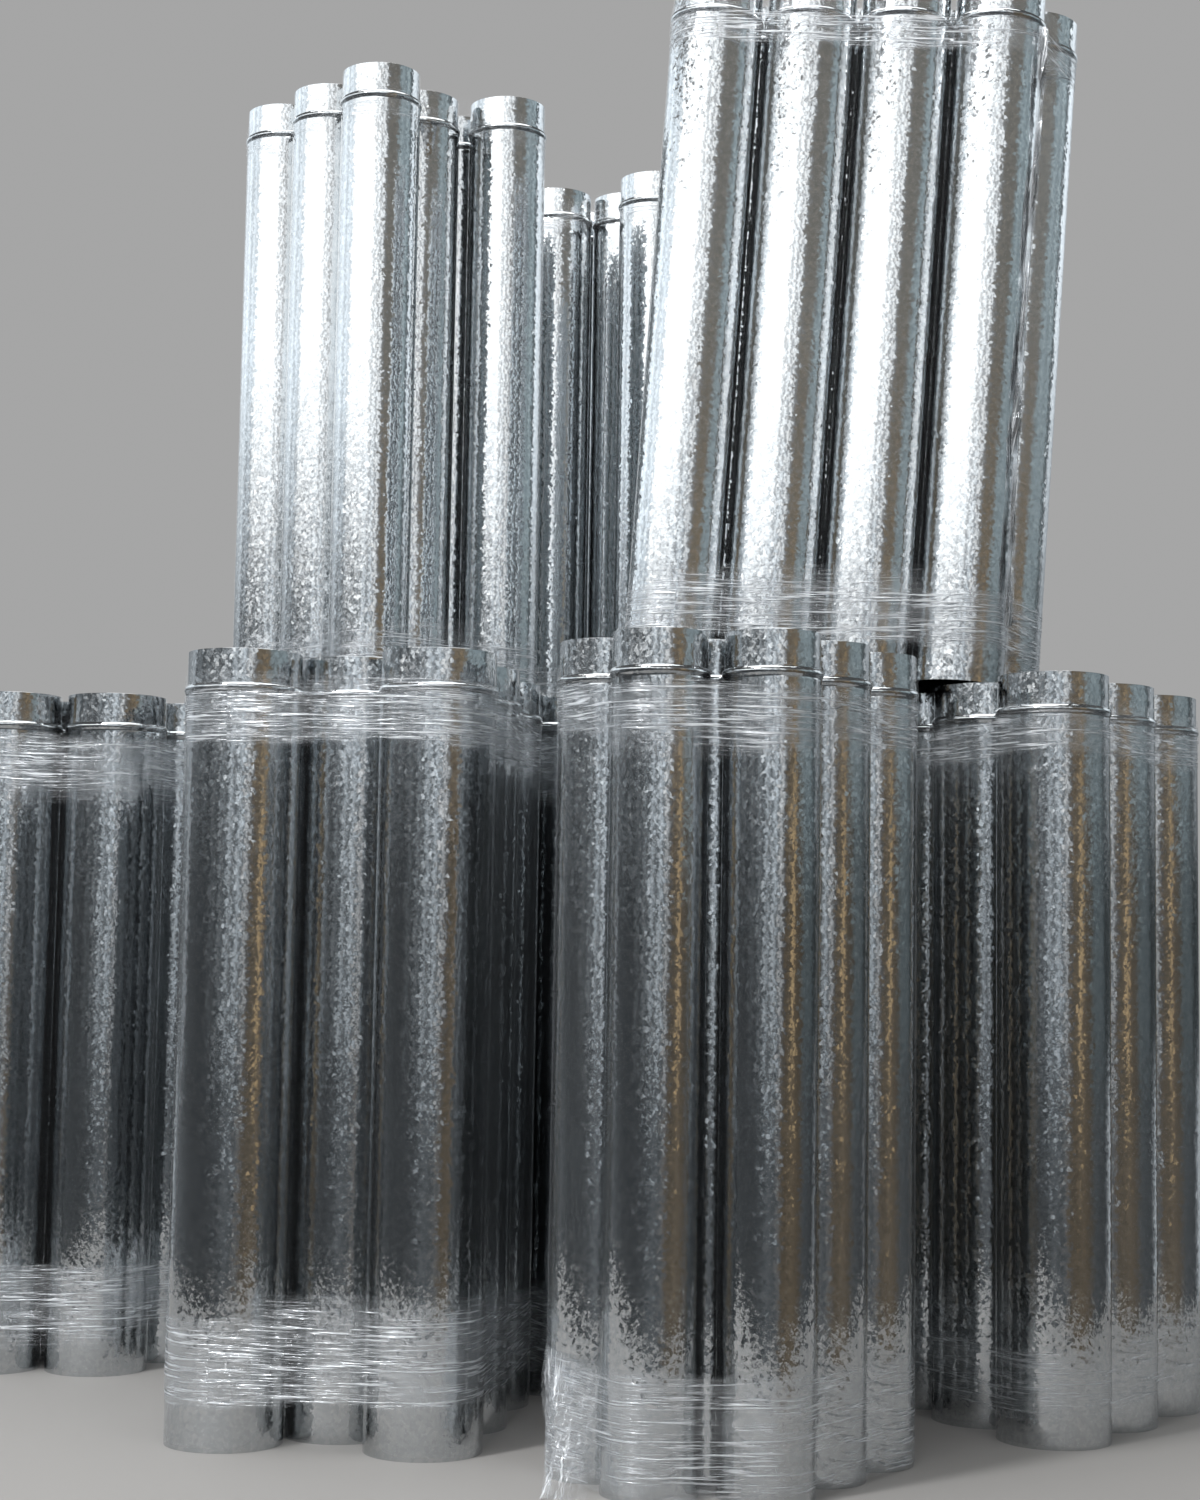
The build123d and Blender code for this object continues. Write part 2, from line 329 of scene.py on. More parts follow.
def tube_place(points):
    """The foot, axis, length, body radius and the way the seam faces, of the tube with these points."""
    axis = np.linalg.svd(points - points.mean(0), full_matrices=False)[2][0]
    axis *= np.sign(axis[2])
    for _ in range(3):
        along = points @ axis
        top = points[along > along.max() - NEAR_END].mean(0)
        foot = points[along < along.min() + NEAR_END].mean(0)
        axis = (top - foot) / np.linalg.norm(top - foot)
    along = (points - foot) @ axis
    away = points - foot - np.outer(along, axis)
    reach = np.linalg.norm(away, axis=1)
    radius = reach[along < NEAR_END].max()
    bead_foot = along.max() - SPIGOT_LENGTH - BEAD_HEIGHT
    seam = (along < bead_foot - NEAR_END) & (reach > radius + SEAM_PROUD / 2)
    return foot, axis, along.max(), radius, away[seam].mean(0)


def tube_profile(length, radius):
    """The closed half section of a tube: radius, height, its share of the waves, and 1 on the seam."""
    shoulder = length - SPIGOT_LENGTH
    bead_foot = shoulder - BEAD_HEIGHT
    spigot = radius - SPIGOT_REDUCTION
    heights = [SEAM_END, SEAM_END + SEAM_STEP]
    heights += [bead_foot * ring / BODY_RINGS for ring in range(1, BODY_RINGS)]
    heights += [bead_foot - SEAM_END - SEAM_STEP, bead_foot - SEAM_END]
    points = [(radius, RIM_ROUND, 1.0, 0)]
    points += [(radius, height, 1.0, SEAM_END < height < bead_foot - SEAM_END) for height in heights]
    points.append((radius, bead_foot - 1 * MM, 0.2, 0))
    for step in range(1, BEAD_STEPS + 1):
        share = step / (BEAD_STEPS + 1)
        base = radius + (spigot - radius) * share
        swell = math.sin(math.pi * share) ** BEAD_FULLNESS
        reach = base + (BEAD_PROUD + radius - base) * swell
        points.append((reach, bead_foot + BEAD_HEIGHT * share, 0.0, 0))
    points.append((spigot, shoulder, 0.0, 0))
    points.append((spigot, shoulder + 2 * MM, 0.1, 0))
    points.append((spigot, length - 20 * MM, 0.4, 0))
    points.append((spigot, length - 1 * MM, RIM_WAVE, 0))
    points.append((spigot, length - RIM_ROUND, RIM_WAVE, 0))
    points.append((spigot - SHEET / 2, length, RIM_WAVE, 0))
    points.append((spigot - SHEET, length - RIM_ROUND, RIM_WAVE, 0))
    points.append((spigot - SHEET, shoulder, 0.0, 0))
    points.append((radius + BEAD_PROUD - SHEET, shoulder - BEAD_HEIGHT / 2, 0.0, 0))
    points.append((radius - SHEET, bead_foot, 0.0, 0))
    points += [(radius - SHEET, bead_foot * ring / 4, 1.0, 0) for ring in (3, 2, 1)]
    points.append((radius - SHEET, RIM_ROUND, 1.0, 0))
    points.append((radius - SHEET / 2, 0.0, 1.0, 0))
    return np.array(points, float)


def tube_points(rng, place):
    """The points of one tube, ring by ring, slightly oval, slightly wavy and with its folded seam."""
    foot, axis, length, radius, seam = place
    profile = tube_profile(length, radius)
    turns = np.linspace(0, 2 * math.pi, SEGMENTS, endpoint=False) + math.pi / SEGMENTS
    half = SEAM_WIDTH / radius / 2
    turns = turns[np.abs(np.angle(np.exp(1j * turns))) > SEAM_CLEAR * half]
    across_seam = half * np.array(SEAM_POINTS)
    turns = np.sort(np.concatenate([turns, across_seam]) % (2 * math.pi))
    at_seam = np.abs(np.angle(np.exp(1j * turns))) < SEAM_COUNTS * half
    height = profile[:, 1]
    oval = OVAL * rng.uniform(*OVAL_SHARES) * np.cos(2 * turns + rng.uniform(0, 2 * math.pi))
    ripple = waves(rng, turns, [(2 * math.pi / number, share) for number, share in WAVES_ROUND])
    ripple_up = waves(rng, height, WAVES_UP)
    offset = np.outer(profile[:, 2], oval) + WAVE * np.outer(profile[:, 2] * (1 + ripple_up), ripple)
    offset += SEAM_PROUD * np.outer(profile[:, 3], at_seam)
    rings = profile[:, :1] + offset
    side = seam / np.linalg.norm(seam)
    around = np.outer(np.cos(turns), side) + np.outer(np.sin(turns), np.cross(axis, side))
    points = foot + height[:, None, None] * axis + rings[:, :, None] * around[None]
    return points.reshape(-1, 3), len(profile), len(turns)


def grid_faces(rings, columns, first=0, close_rings=False):
    """Quads between neighbouring rings of a grid that is closed along its columns."""
    faces = []
    for ring in range(rings if close_rings else rings - 1):
        low = first + ring * columns
        high = first + ((ring + 1) % rings) * columns
        for column in range(columns):
            following = (column + 1) % columns
            faces.append((low + column, low + following, high + following, high + column))
    return faces


def new_piece(name, points, faces, materials):
    """A smooth-shaded piece that rides on the body and takes its finish from the slot."""
    mesh = bpy.data.meshes.new(name)
    mesh.from_pydata([tuple(point) for point in points], [], faces)
    mesh.update()
    mesh.polygons.foreach_set("use_smooth", [True] * len(mesh.polygons))
    for material in materials:
        mesh.materials.append(material)
    piece = bpy.data.objects.new(name, mesh)
    bpy.context.scene.collection.objects.link(piece)
    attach(piece, "root")
    return piece


def make_tubes(rng, bundle, places, material):
    """One piece with all of a bundle's tubes, in place of their plain solids."""
    points, faces = [], []
    first = 0
    for place in places:
        grid, rings, columns = tube_points(rng, place)
        faces += grid_faces(rings, columns, first, close_rings=True)
        points.append(grid)
        first += rings * columns
    piece = new_piece(f"{bundle}_bundle", np.concatenate(points), faces, [material])
    piece.data.set_sharp_from_angle(angle=math.radians(SHARP_DEG))
    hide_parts(f"{bundle}_tubes")


def hull(points):
    """The corners of the outline round some plan points, counter-clockwise."""
    ordered = sorted((round(x, 6), round(y, 6)) for x, y in points)
    chains = []
    for row in (ordered, ordered[::-1]):
        chain = []
        for p in row:
            while len(chain) > 1:
                a, b = chain[-2], chain[-1]
                if (b[0] - a[0]) * (p[1] - a[1]) - (b[1] - a[1]) * (p[0] - a[0]) > 1e-6:
                    break
                chain.pop()
            chain.append(p)
        chains.append(chain[:-1])
    return np.array(chains[0] + chains[1])


def loop_round(corners, radius, step):
    """Stations round the bundle: the plan point that carries each, and its direction outward."""
    count = len(corners)
    bases, outs = [], []
    for index in range(count):
        a, b = corners[index], corners[(index + 1) % count]
        c = corners[(index + 2) % count]
        side, following = b - a, c - b
        turn_start = math.atan2(-side[0], side[1])
        turn = (math.atan2(-following[0], following[1]) - turn_start) % (2 * math.pi)
        pieces = max(2, round(np.linalg.norm(side) / step))
        for share in np.arange(pieces) / pieces:
            bases.append(a + side * share)
            outs.append(turn_start)
        pieces = max(2, round(turn * radius / step))
        for share in np.arange(pieces) / pieces:
            bases.append(b)
            outs.append(turn_start + turn * share)
    angles = np.array(outs)
    return np.array(bases), np.stack([np.cos(angles), np.sin(angles)], axis=1)


def wrap_line(places, step):
    """A bundle's film stations, how far along each is, the whole way round, its foot and its slope."""
    axis = np.mean([place[1] for place in places], axis=0)
    radius = places[0][3]
    bases, outward = loop_round(hull([place[0][:2] for place in places]), radius, step)
    line = bases + outward * radius
    along = np.concatenate([[0], np.cumsum(np.linalg.norm(np.diff(line, axis=0), axis=1))])
    around = along[-1] + np.linalg.norm(line[-1] - line[0])
    return bases, outward, along, around, min(place[0][2] for place in places), axis[:2] / axis[2]


def film_bands(bundle, top):
    """The heavier bands as their lower and upper edge above the film's foot and their whiteness."""
    depth, low, high, top_white, bottom_white = BANDS[bundle]
    top -= FILM_FOOT
    below_bead = top - FILM_OVER_BEAD - BEAD_HEIGHT - BAND_EDGE
    return [(low * MM, high * MM, bottom_white), (top - depth * MM, below_bead, top_white)]


def film_heights(height, bands, step):
    """The heights of the film's rows: close together in the bands and wide apart between them."""
    rows = {0.0, height}
    for low, high, _ in bands:
        count = math.ceil((high - low + 2 * BAND_EDGE) / step)
        rows.update(np.clip(np.linspace(low - BAND_EDGE, high + BAND_EDGE, count + 1), 0, height))
    ordered = sorted(rows)
    for below, above in zip(ordered, ordered[1:]):
        count = round((above - below) / STEP_PLAIN)
        rows.update(np.linspace(below, above, count + 1)[1:-1] if count > 1 else [])
    return np.array(sorted(rows))


def ridges(height, along, phases):
    """Fine level creases, from 0 to 1, which start, join and end along the film."""
    drift = 0
    for length, phase in zip(DRIFT_LENGTHS, phases):
        drift = drift + np.sin(2 * np.pi * (along / length) + phase)
    total = 0.5
    for (spacing, sway, share), phase in zip((FINE_CREASE, COARSE_CREASE), phases[3:]):
        total = total + share * np.sin(2 * np.pi * (height / spacing) + sway * drift + phase)
    return np.clip(total, 0, 1)


def make_film(rng, phases, bundle, places, materials):
    """One sheet round the bundle, clinging to its tubes, with a wrinkled band near each end."""
    length, radius = places[0][2:4]
    coarser_along, coarser_up = (HIDDEN_STEP_ALONG, HIDDEN_STEP_UP) if bundle in HIDDEN else (1, 1)
    bases, outward, along, around, level, slope = wrap_line(places, STEP_ALONG * coarser_along)
    bead = length - SPIGOT_LENGTH - BEAD_HEIGHT / 2
    top = length - SPIGOT_LENGTH + FILM_OVER_BEAD
    bands = film_bands(bundle, top)
    heights = film_heights(top - FILM_FOOT, bands, STEP_UP * coarser_up) + FILM_FOOT
    slant = SLANT * math.cos(rng.uniform(*SLANT_ANGLES))
    rags = [waves(rng, along, [(around / number, depth) for number, depth in RAGS]) for _ in bands]
    tilt = slant * np.sin(2 * np.pi * along / around + rng.uniform(*SLANT_PHASES))
    points, masks = [], []
    for height in heights:
        near_bead = np.exp(-(((height - bead) / FILM_BLEND) ** 2))
        mask = np.zeros(len(along))
        for (low, high, white), rag in zip(bands, rags):
            low_edge = low + FILM_FOOT + tilt + rag
            high_edge = high + FILM_FOOT + tilt + rag * UPPER_RAG_SHARE
            inner = smooth(low_edge - BAND_EDGE, low_edge + BAND_EDGE, height)
            inner *= 1 - smooth(high_edge - BAND_EDGE, high_edge + BAND_EDGE, height)
            mask = np.maximum(mask, white * inner)
        crease = ridges(height + tilt, along, phases)
        proud = CLING + (BEAD_PROUD + OVER_BEAD_CLEARANCE) * near_bead
        proud = proud + WRINKLE * mask * crease * (1 - CALM_AT_BEAD * near_bead)
        plan = bases + outward * (radius + proud)[:, None] + slope * height
        points.append(np.column_stack([plan, np.full(len(plan), level + height)]))
        masks.append(mask)
    columns = len(along)
    faces = grid_faces(len(heights), columns)
    piece = new_piece(f"{bundle}_wrap", np.concatenate(points), faces, materials)
    whiteness = np.concatenate(masks)
    keep_field(piece, "band", whiteness)
    unmarked = whiteness[np.array(faces)].max(1) == 0
    piece.data.polygons.foreach_set("material_index", unmarked.astype(np.int32))
    lay_out(piece, along, around, heights, columns)
    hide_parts(f"{bundle}_film")


def keep_field(piece, name, values):
    """Keeps a number for each point of the piece, for its material to read."""
    field = piece.data.attributes.new(name, "FLOAT", "POINT")
    field.data.foreach_set("value", np.asarray(values, np.float32))


def corner_points(piece):
    """The point at each corner of the piece's faces."""
    index = np.zeros(len(piece.data.loops), np.int32)
    piece.data.loops.foreach_get("vertex_index", index)
    return index


def keep_layout(piece, u, v):
    """Keeps the flat layout of a piece in metres, corner by corner."""
    layout = piece.data.uv_layers.new(name="flat")
    layout.data.foreach_set("uv", np.column_stack([u, v]).astype(np.float32).ravel())


def lay_out(piece, along, around, heights, columns):
    """A flat layout of the film: along the loop and up."""
    index = corner_points(piece)
    u, v = along[index % columns], heights[index // columns]
    corner = np.arange(len(index)) % 4
    last = (index % columns == 0) & ((corner == 1) | (corner == 2))
    keep_layout(piece, np.where(last, around, u), v)


def beside_bundle(places, start_deg, shift, out, height):
    """Points beside a bundle's film: this far round it from where it faces start_deg, and out and up."""
    bases, outward, along, around, level, slope = wrap_line(places, STEP_ALONG)
    radius = places[0][3]
    facing = outward @ (math.cos(math.radians(start_deg)), math.sin(math.radians(start_deg)))
    way = (along[np.argmax(facing)] + shift) % around
    plan = [np.interp(way, along, bases[:, k] + outward[:, k] * radius, period=around) for k in (0, 1)]
    side = [np.interp(way, along, outward[:, k], period=around) for k in (0, 1)]
    plan = np.stack(plan, axis=-1) + np.stack(side, axis=-1) * out[..., None] + slope * height[..., None]
    return np.concatenate([plan, level + height[..., None]], axis=-1)


def make_loose_sheet(name, points, size, band, material):
    """A loose piece of film from a grid of points, with a flat layout of its size."""
    rows, columns = points.shape[:2]
    faces = []
    for low in range(0, (rows - 1) * columns, columns):
        high = low + columns
        faces += [(low + k, low + k + 1, high + k + 1, high + k) for k in range(columns - 1)]
    piece = new_piece(name, points.reshape(-1, 3), faces, [material])
    keep_field(piece, "band", band.ravel())
    index = corner_points(piece)
    width, long = size
    keep_layout(piece, index // columns / (rows - 1) * long, index % columns / (columns - 1) * width)


def crossing_wave(across, down, wave):
    """A wave that crosses a flap a number of times sideways and downward, with its phase."""
    sideways, downward, phase = wave
    return np.sin(2 * np.pi * (sideways * across + downward * down + phase))


def make_flap(bundle, places, material):
    """Film that came loose from the bottom band and hangs to the floor, gathered at its crumpled foot."""
    start_deg, width, top, foot, draw, flare, gather = FLAPS[bundle]
    width, top, foot, draw, flare = (value * MM for value in (width, top, foot, draw, flare))
    across, down = np.meshgrid(np.linspace(0, 1, FLAP_COLUMNS), np.linspace(0, 1, FLAP_ROWS))
    shift = across * width * (1 - gather * down) + draw * down ** FLAP_DRAW_POWER
    folds = crossing_wave(across, down, FLAP_BROAD_FOLD)
    folds += FLAP_FINE_SHARE * crossing_wave(across, down, FLAP_FINE_FOLD)
    first, second = (crossing_wave(across, down, wave) for wave in FLAP_CRUMPLES)
    crumple = FLAP_CRUMPLE * np.minimum(FLAP_CRUMPLE_IN * down, 1) * (1 + first * second)
    belly = FLAP_SIDE_FLARE + (1 - FLAP_SIDE_FLARE) * np.sin(np.pi * across)
    out = WRINKLE + CLING + flare * down ** FLAP_FLARE_POWER * belly
    out += FLAP_FOLD * down * (1 + FLAP_FINE_SHARE + folds) / 2 + crumple
    height = foot + (top - foot) * (1 - down) * (1 - FLAP_TOP_SLOPE * across)
    # Painted highlight: the flap's film is made whiter along a slanting line where its fold would catch the
    # light, and this whiteness goes into its band field
    painted_highlight_line = np.clip(1 - PAINTED_HIGHLIGHT_FALL * np.abs(across - PAINTED_HIGHLIGHT_START - PAINTED_HIGHLIGHT_SLANT * down), 0, 1)
    band = FLAP_WHITE_LEAST + (1 - FLAP_WHITE_LEAST) * painted_highlight_line
    points = beside_bundle(places, start_deg, shift, out, height)
    size = (width * (1 - gather / 2), math.hypot(top - foot, draw, flare))
    make_loose_sheet(f"{bundle}_flap", points, size, band, material)


def make_tail(bundle, places, material):
    """The end of the film, gathered into a twisted cord that hangs down the bundle's side."""
    start_deg, width, top, foot, turns = TAILS[bundle]
    width, top, foot = (value * MM for value in (width, top, foot))
    fold, down = np.meshgrid(np.arange(TAIL_FOLDS + 1), np.linspace(0, 1, TAIL_ROWS))
    twist = 2 * np.pi * turns * down + TAIL_WOBBLE * np.sin(TAIL_WOBBLE_TURNS * down)
    half = width / TAIL_FOLDS / 2 * (1 + TAIL_SWELL * np.sin(2 * np.pi * TAIL_SWELLS * down + 1))
    side, depth = half * (-1.0) ** fold, (fold - TAIL_FOLDS / 2) * TAIL_PLY
    shift = side * np.cos(twist) - depth * np.sin(twist)
    shift += TAIL_SWAY * np.sin(2 * np.pi * TAIL_SWAYS_ROUND * down)
    out = side * np.sin(twist) + depth * np.cos(twist)
    out += TAIL_OFF + TAIL_SWAY * (1 + np.sin(2 * np.pi * TAIL_SWAYS_OUT * down + 2)) / 2
    points = beside_bundle(places, start_deg, shift, out, foot + (top - foot) * (1 - down))
    band = np.full_like(down, TAIL_WHITE)
    make_loose_sheet(f"{bundle}_tail", points, (width, top - foot), band, material)


def nodes_of(name):
    """A new material, its node tree and its Principled shader."""
    material = bpy.data.materials.new(name)
    material.use_nodes = True
    tree = material.node_tree
    return material, tree, tree.nodes["Principled BSDF"]


def add(tree, kind, inputs=None, **settings):
    """A node with its settings and its inputs, where a socket as an input makes a link."""
    node = tree.nodes.new(kind)
    for key, value in settings.items():
        setattr(node, key, value)
    for key, value in (inputs or {}).items():
        if isinstance(value, bpy.types.NodeSocket):
            tree.links.new(value, node.inputs[key])
        else:
            node.inputs[key].default_value = value
    return node


def maths(tree, operation, a, b=0.0, c=0.0, clamp=False):
    """The result of a maths node."""
    return add(tree, "ShaderNodeMath", {0: a, 1: b, 2: c}, operation=operation, use_clamp=clamp).outputs[0]


def vector(tree, operation, a, b=(0, 0, 0), c=(0, 0, 0)):
    """The result of a vector maths node."""
    return add(tree, "ShaderNodeVectorMath", {0: a, 1: b, 2: c}, operation=operation).outputs[0]


def noise(tree, place, scale, **settings):
    """A noise texture, with what its settings say by name."""
    inputs = {name.title(): value for name, value in settings.items()}
    return add(tree, "ShaderNodeTexNoise", {"Vector": place, "Scale": scale, **inputs}).outputs


def spread(tree, value, low, high):
    """A value stretched from low and high to 0 and 1."""
    return add(tree, "ShaderNodeMapRange", {"Value": value, "From Min": low, "From Max": high}).outputs[0]


def ramp(tree, factor, stops):
    """A colour ramp with its stops as position and colour."""
    node = add(tree, "ShaderNodeValToRGB", {"Fac": factor})
    elements = node.color_ramp.elements
    while len(elements) < len(stops):
        elements.new(0.5)
    for element, (position, colour) in zip(elements, stops):
        element.position = position
        element.color = (*colour, 1)
    return node.outputs["Color"]


def mix(tree, factor, a, b, blend="MIX"):
    """The mix of two colours."""
    node = add(tree, "ShaderNodeMix", {0: factor, 6: a, 7: b}, data_type="RGBA", blend_type=blend)
    return node.outputs[2]


def grey(value, warm=0.0):
    """A grey, warmer by a share."""
    return value * (1 + warm), value, value * (1 - warm)


def galvanised():
    """Hot-dip zinc with spangles: each crystal has its own tilt, brightness and gloss."""
    material, tree, shader = nodes_of("galvanised_sheet")
    place = add(tree, "ShaderNodeTexCoord").outputs["Object"]
    stray = noise(tree, place, STRAY_PER_METRE, detail=3.0, roughness=0.6)["Color"]
    bent = vector(tree, "SUBTRACT", stray, (0.5, 0.5, 0.5))
    bent = vector(tree, "MULTIPLY_ADD", bent, (SPANGLE_STRAY,) * 3, place)
    cells = add(tree, "ShaderNodeTexVoronoi", {"Vector": bent, "Scale": 1 / SPANGLE}).outputs["Color"]
    small = add(tree, "ShaderNodeTexVoronoi", {"Vector": bent, "Scale": 1 / SPANGLE_SMALL}).outputs["Color"]
    pick = add(tree, "ShaderNodeSeparateColor", {"Color": cells}).outputs

    amount = maths(tree, "POWER", pick["Blue"], 2.0)
    amount = maths(tree, "MULTIPLY_ADD", amount, TILT_MORE * SPANGLE_TILT, TILT_LEAST * SPANGLE_TILT)
    lean = vector(tree, "SUBTRACT", cells, (0.5, 0.5, 0.5))
    lean = vector(tree, "MULTIPLY", lean, amount)
    lean = vector(tree, "MULTIPLY", lean, (1.0, 1.0, TILT_UP_SHARE))
    lean_small = vector(tree, "SUBTRACT", small, (0.5, 0.5, 0.5))
    lean_small = vector(tree, "MULTIPLY", lean_small, (TILT_SMALL * SPANGLE_TILT,) * 3)
    normal = add(tree, "ShaderNodeNewGeometry").outputs["Normal"]
    tilted = vector(tree, "ADD", vector(tree, "ADD", normal, lean), lean_small)
    tree.links.new(vector(tree, "NORMALIZE", tilted), shader.inputs["Normal"])

    dust = noise(tree, place, DUST_PER_METRE, detail=2.0, roughness=0.65)["Fac"]
    dull = ramp(tree, dust, [(CLOUD_FROM, grey(DUST_TONE, DUST_WARMTH)), (CLOUD_TO, grey(1.0))])
    tone = ramp(tree, pick["Red"], ZINC_TONES)
    tree.links.new(mix(tree, 1.0, tone, dull, "MULTIPLY"), shader.inputs["Base Color"])
    rough = maths(tree, "MULTIPLY_ADD", pick["Green"], ROUGH_SPREAD, ROUGH)
    rough = maths(tree, "MULTIPLY_ADD", dust, ROUGH_DUST, rough)
    tree.links.new(rough, shader.inputs["Roughness"])
    shader.inputs["Metallic"].default_value = 1.0
    return material


def film_material(name):
    """A film material, its nodes, its shader and how much it shows: more where it is seen edge-on."""
    material, tree, shader = nodes_of(name)
    edge = add(tree, "ShaderNodeLayerWeight", {"Blend": EDGE_BLEND}).outputs["Facing"]
    shown = maths(tree, "MULTIPLY_ADD", maths(tree, "POWER", edge, 2.0), EDGE_SHOW, CLEAR_SHOW)
    shader.inputs["Base Color"].default_value = FILM_COLOUR
    shader.inputs["Roughness"].default_value = FILM_ROUGHNESS
    shader.inputs["Metallic"].default_value = FILM_METALLIC
    return material, tree, shader, shown


def clear_film():
    """The film between its bands."""
    material, tree, shader, shown = film_material("clear_film")
    tree.links.new(shown, shader.inputs["Alpha"])
    return material


def creased_film():
    """The film of the bands, which shows by its white creases."""
    material, tree, shader, shown = film_material("creased_film")
    flat = add(tree, "ShaderNodeUVMap", uv_map="flat").outputs["UV"]
    band = add(tree, "ShaderNodeAttribute", attribute_name="band").outputs["Fac"]
    wander = noise(tree, flat, WANDER_PER_METRE, detail=1.0)["Color"]
    flat = vector(tree, "MULTIPLY_ADD", wander, (0.0, WANDER, 0.0), flat)
    streak = vector(tree, "MULTIPLY", flat, CREASES_PER_METRE)
    streak = noise(tree, streak, 1.0, detail=2.0, roughness=0.62)["Fac"]
    patch = vector(tree, "MULTIPLY", flat, PATCHES_PER_METRE)
    patch = noise(tree, patch, 1.0, detail=1.0)["Fac"]
    lines = spread(tree, streak, CREASE_FROM, CREASE_TO)
    lines = maths(tree, "MULTIPLY", lines, spread(tree, patch, PATCH_FROM, PATCH_TO))
    creased = maths(tree, "MULTIPLY_ADD", lines, CREASE_SHOW, BAND_SHOW)
    alpha = maths(tree, "MULTIPLY_ADD", creased, band, shown, clamp=True)
    tree.links.new(alpha, shader.inputs["Alpha"])
    bumps = {"Height": streak, "Distance": CREASE_BUMP, "Strength": CREASE_BUMP_STRENGTH}
    bump = add(tree, "ShaderNodeBump", bumps)
    tree.links.new(bump.outputs["Normal"], shader.inputs["Normal"])
    return material


def pale_floor():
    """A plain pale floor with the faintest clouds."""
    material, tree, shader = nodes_of("floor")
    place = add(tree, "ShaderNodeTexCoord").outputs["Object"]
    cloud = noise(tree, place, FLOOR_CLOUDS_PER_METRE, detail=4.0)["Fac"]
    darker, lighter = (grey(FLOOR_TONE * share, FLOOR_WARMTH) for share in (FLOOR_CLOUD_TONE, 1))
    tone = ramp(tree, cloud, [(CLOUD_FROM, darker), (CLOUD_TO, lighter)])
    tree.links.new(tone, shader.inputs["Base Color"])
    shader.inputs["Roughness"].default_value = FLOOR_ROUGHNESS
    return material


def row_of_cards(tree, turn, row):
    """The light of one row of cards by the turn round the stack, from 0 to 1."""
    return ramp(tree, turn, [(0.5 + at / 360, [light * part for part in tint]) for at, light, tint in row])


def card_light():
    """The light that the cards give, by the way and the height in which they stand from the stack's foot."""
    material, tree, shader = nodes_of("light_cards")
    place = add(tree, "ShaderNodeTexCoord").outputs["Object"]
    way = vector(tree, "NORMALIZE", place)
    x, y, z = add(tree, "ShaderNodeSeparateXYZ", {"Vector": way}).outputs
    turn = maths(tree, "ARCTAN2", x, maths(tree, "MULTIPLY", y, -1.0))
    turn = maths(tree, "MULTIPLY_ADD", turn, 0.5 / math.pi, 0.5)
    rise = maths(tree, "MULTIPLY", maths(tree, "ARCSINE", z), 180 / math.pi)
    colour = row_of_cards(tree, turn, GROUND_CARDS)
    for heights, row in ((TO_LOW, LOW_CARDS), (TO_MIDDLE, MIDDLE_CARDS), (TO_HIGH, HIGH_CARDS)):
        colour = mix(tree, spread(tree, rise, *heights), colour, row_of_cards(tree, turn, row))
    tree.links.new(colour, shader.inputs["Emission Color"])
    shader.inputs["Emission Strength"].default_value = 1.0
    shader.inputs["Base Color"].default_value = (0, 0, 0, 1)
    shader.inputs["Specular IOR Level"].default_value = 0.0
    material.cycles.emission_sampling = "NONE"
    return material


def plain_object(name, points, faces, material):
    """A flat-shaded object of one material, for the stage."""
    mesh = bpy.data.meshes.new(name)
    mesh.from_pydata(points, [], faces)
    mesh.materials.append(material)
    made = bpy.data.objects.new(name, mesh)
    bpy.context.scene.collection.objects.link(made)
    return made


def round_stage():
    """The floor, and a ring of light and dark cards that the tubes reflect and the camera doesn't see."""
    turns = np.linspace(0, 2 * math.pi, ROUND_SIDES, endpoint=False)
    circle = [(math.cos(turn), math.sin(turn)) for turn in turns]
    rim = [(FLOOR_REACH * x, FLOOR_REACH * y, 0) for x, y in circle]
    floor = plain_object("floor", rim, [range(ROUND_SIDES)], pale_floor())
    points = []
    for angle in (CARD_LOWEST_DEG, CARD_HIGHEST_DEG):
        height = CARD_REACH * math.tan(math.radians(angle))
        points += [(CARD_REACH * x, CARD_REACH * y, height) for x, y in circle]
    cards = plain_object("light_cards", points, grid_faces(2, ROUND_SIDES), card_light())
    cards.visible_camera = False


def backdrop():
    """A plain pale world that is darker overhead, above what the camera sees."""
    world = bpy.data.worlds.new("studio")
    bpy.context.scene.world = world
    world.use_nodes = True
    tree = world.node_tree
    way = add(tree, "ShaderNodeTexCoord").outputs["Generated"]
    height = add(tree, "ShaderNodeSeparateXYZ", {"Vector": way}).outputs["Z"]
    heights = [math.sin(math.radians(angle)) for angle in (OVERHEAD_FROM_DEG, OVERHEAD_FULL_DEG)]
    colour = mix(tree, spread(tree, height, *heights), (*grey(BACKDROP), 1), (*grey(OVERHEAD), 1))
    tree.links.new(colour, tree.nodes["Background"].inputs["Color"])


def place_lamp(name, data, watts, place, aim):
    """A lamp that the camera doesn't see."""
    data.energy = watts
    lamp = bpy.data.objects.new(name, data)
    lamp.location = place
    lamp.rotation_euler = (Vector(aim) - Vector(place)).to_track_quat("-Z", "Y").to_euler()
    lamp.visible_camera = False
    bpy.context.scene.collection.objects.link(lamp)


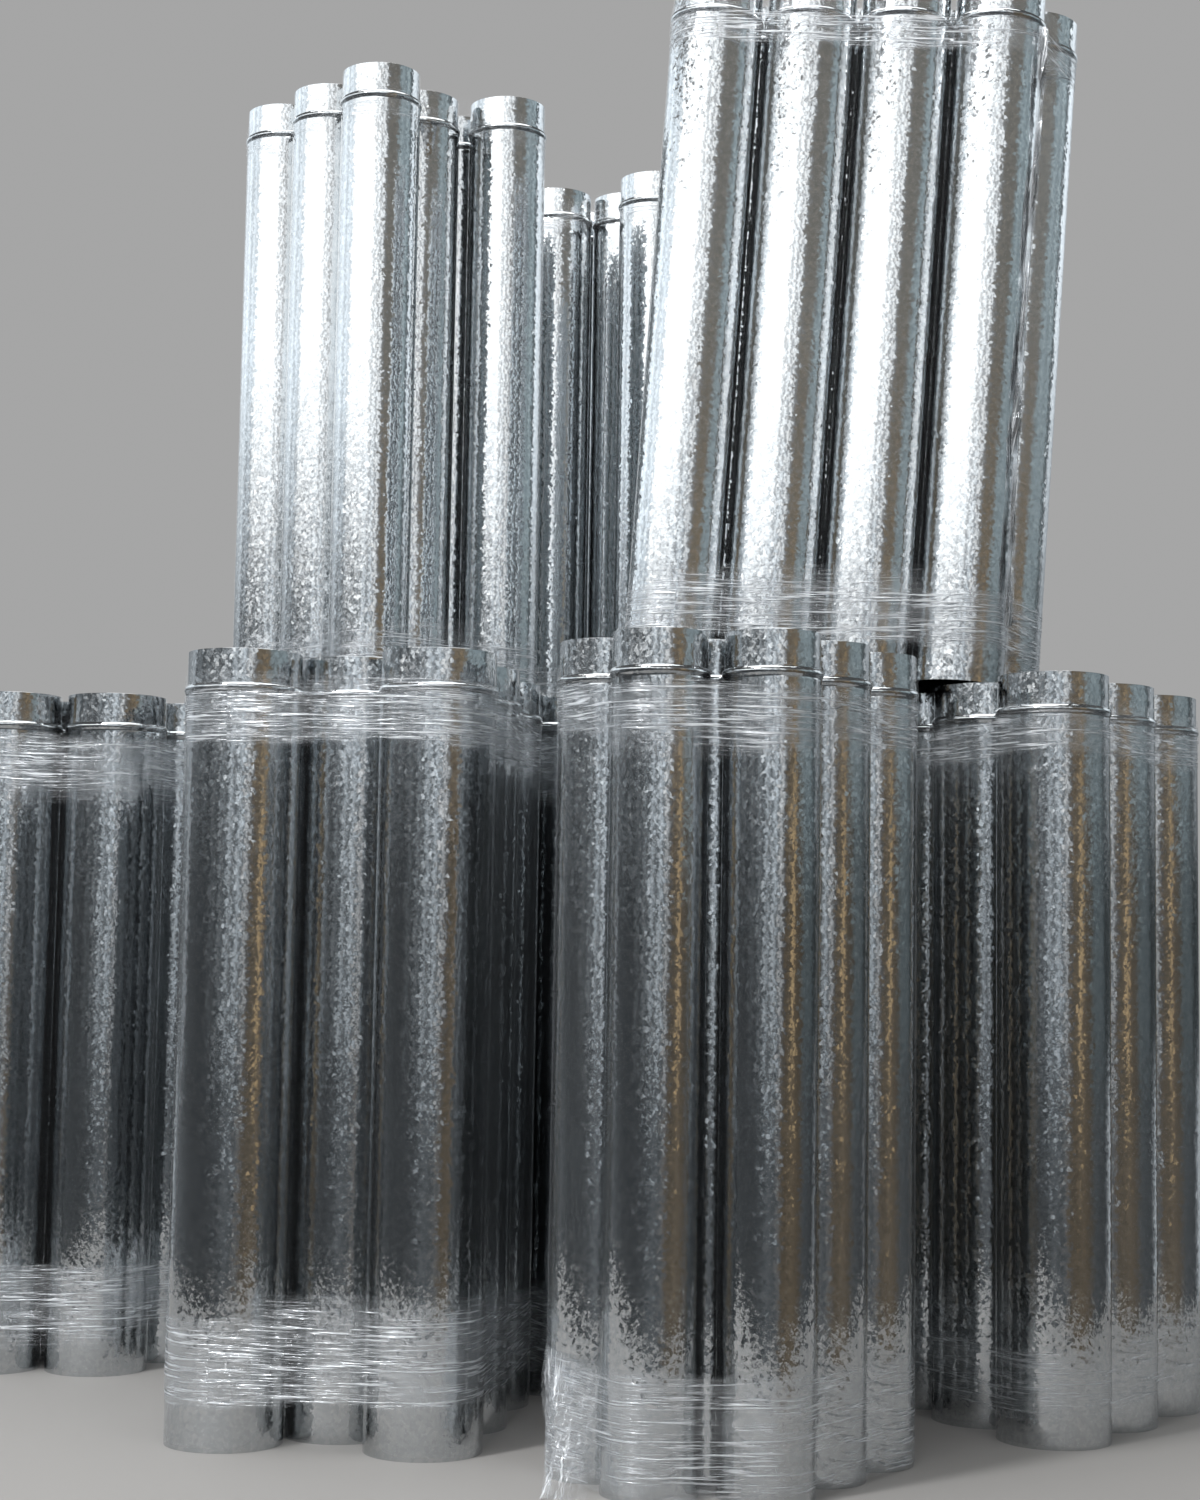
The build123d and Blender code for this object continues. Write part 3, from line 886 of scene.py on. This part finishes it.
def area_light(name, shape, size, watts, place, aim):
    """A soft light of a shape and size."""
    data = bpy.data.lights.new(name, "AREA")
    data.shape = shape
    data.size, data.size_y = size
    place_lamp(name, data, watts, place, aim)


def studio():
    """A pale floor and backdrop, the light cards, and soft lights above and at the front left."""
    round_stage()
    backdrop()
    area_light("top_light", "DISK", TOP_LIGHT_SIZE, TOP_LIGHT_WATTS, TOP_LIGHT_PLACE, TOP_LIGHT_AIM)
    area_light("soft_box", "RECTANGLE", SOFT_BOX_SIZE, SOFT_BOX_WATTS, SOFT_BOX_PLACE, SOFT_BOX_AIM)
    key = bpy.data.lights.new("key_light", "SPOT")
    key.shadow_soft_size = KEY_LIGHT_RADIUS
    key.spot_size = math.radians(KEY_LIGHT_CONE_DEG)
    key.spot_blend = KEY_LIGHT_SOFTNESS
    place_lamp("key_light", key, KEY_LIGHT_WATTS, KEY_LIGHT_PLACE, KEY_LIGHT_AIM)


def camera():
    """The camera, placed from the foot of the left bundle's front tube."""
    front_tube = min(tube_places("left_tubes"), key=lambda place: place[0][1])[0]
    data = bpy.data.cameras.new("camera")
    data.lens = LENS_MM
    view = bpy.data.objects.new("camera", data)
    place = Matrix.Translation(Vector(front_tube) + Vector(CAMERA_FROM_TUBE))
    pitch = Matrix.Rotation(math.radians(90 + PITCH_DEG), 4, "X")
    roll = Matrix.Rotation(math.radians(ROLL_DEG), 4, "Z")
    view.matrix_world = place @ pitch @ roll
    bpy.context.scene.collection.objects.link(view)
    bpy.context.scene.camera = view


bpy.context.scene.view_settings.view_transform = "Standard"
camera()
studio()
zinc = galvanised()
creased, clear = creased_film(), clear_film()
for number, bundle in enumerate(BUNDLES):
    rng = np.random.default_rng(SEED + number)
    crease_phases = rng.uniform(0, 2 * math.pi, 5)
    places = tube_places(f"{bundle}_tubes")
    make_tubes(rng, bundle, places, zinc)
    make_film(rng, crease_phases, bundle, places, [creased, clear])
    if bundle in FLAPS:
        make_flap(bundle, places, creased)
    if bundle in TAILS:
        make_tail(bundle, places, creased)
